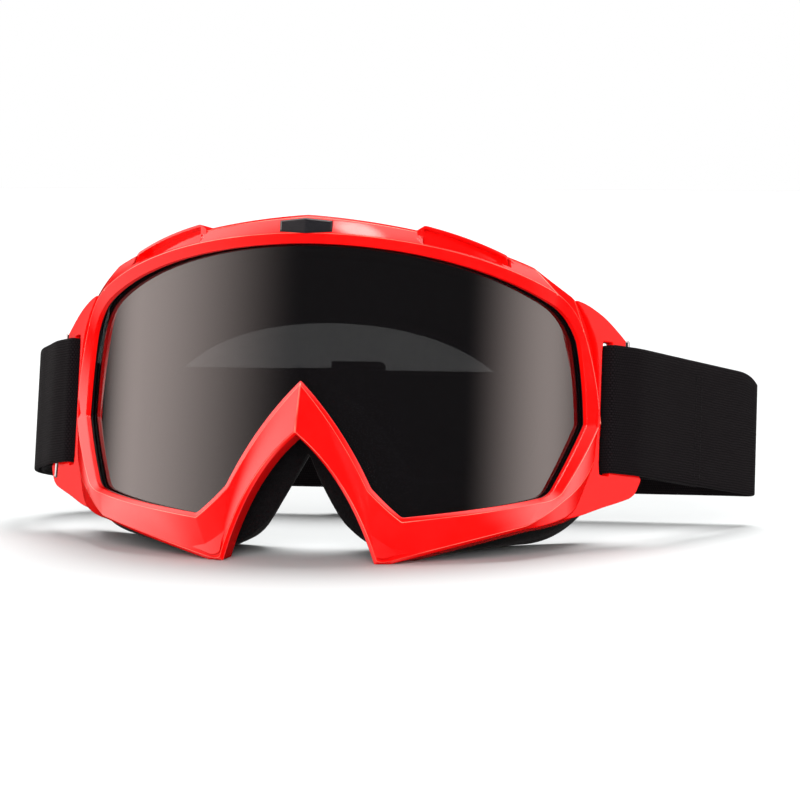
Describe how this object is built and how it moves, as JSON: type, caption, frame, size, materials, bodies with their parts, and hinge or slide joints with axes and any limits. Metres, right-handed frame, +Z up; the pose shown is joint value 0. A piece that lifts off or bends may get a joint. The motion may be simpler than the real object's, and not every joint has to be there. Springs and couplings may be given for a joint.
{
  "type": "motorcycle goggles",
  "caption": "Off-road riding goggles resting on a table: wrap-around smoke lens in a glossy frame with strap arms, foam face seal and an elastic head strap with a slider",
  "frame": {"origin": "centre of the overall box, on the table", "axes": "+X to the wearer's left, which is the viewer's right from the front; +Y from the lens back to the strap; +Z up from the table"},
  "size_m": [0.2368, 0.1332, 0.1029],
  "materials": {
    "frame_red": "glossy moulded, saturated red",
    "lens_smoke": "polished smoke tint",
    "inner_black": "satin soft moulding",
    "gasket_black": "satin",
    "badge_grey": "glossy dark grey",
    "filter_foam": "open-cell foam",
    "pin_steel": "drawn steel wire",
    "foam_black": "fabric-faced foam",
    "fleece_black": "brushed fleece",
    "strap_black": "knitted elastic webbing, ribbed",
    "slider_black": "satin moulded"
  },
  "bodies": {
    "goggles": {"outer_frame": "frame_red", "inner_frame": "inner_black", "lens": "lens_smoke", "lens_gasket": "gasket_black", "brow_badge": "badge_grey", "brow_vent_filter_right": "filter_foam", "brow_vent_filter_left": "filter_foam", "strap_pin_right": "pin_steel", "strap_pin_left": "pin_steel", "face_foam": "foam_black", "face_fleece": "fleece_black", "strap_band": "strap_black", "strap_return": "strap_black"},
    "slider": {"strap_slider": "slider_black", "strap_end_loop": "strap_black"}
  },
  "joints": [
    {"name": "strap_adjust", "type": "slide", "parent": "goggles", "child": "slider", "axis": [1, 0, 0], "range_m": [-0.03, 0], "deforming": ["strap_return"]}
  ]
}
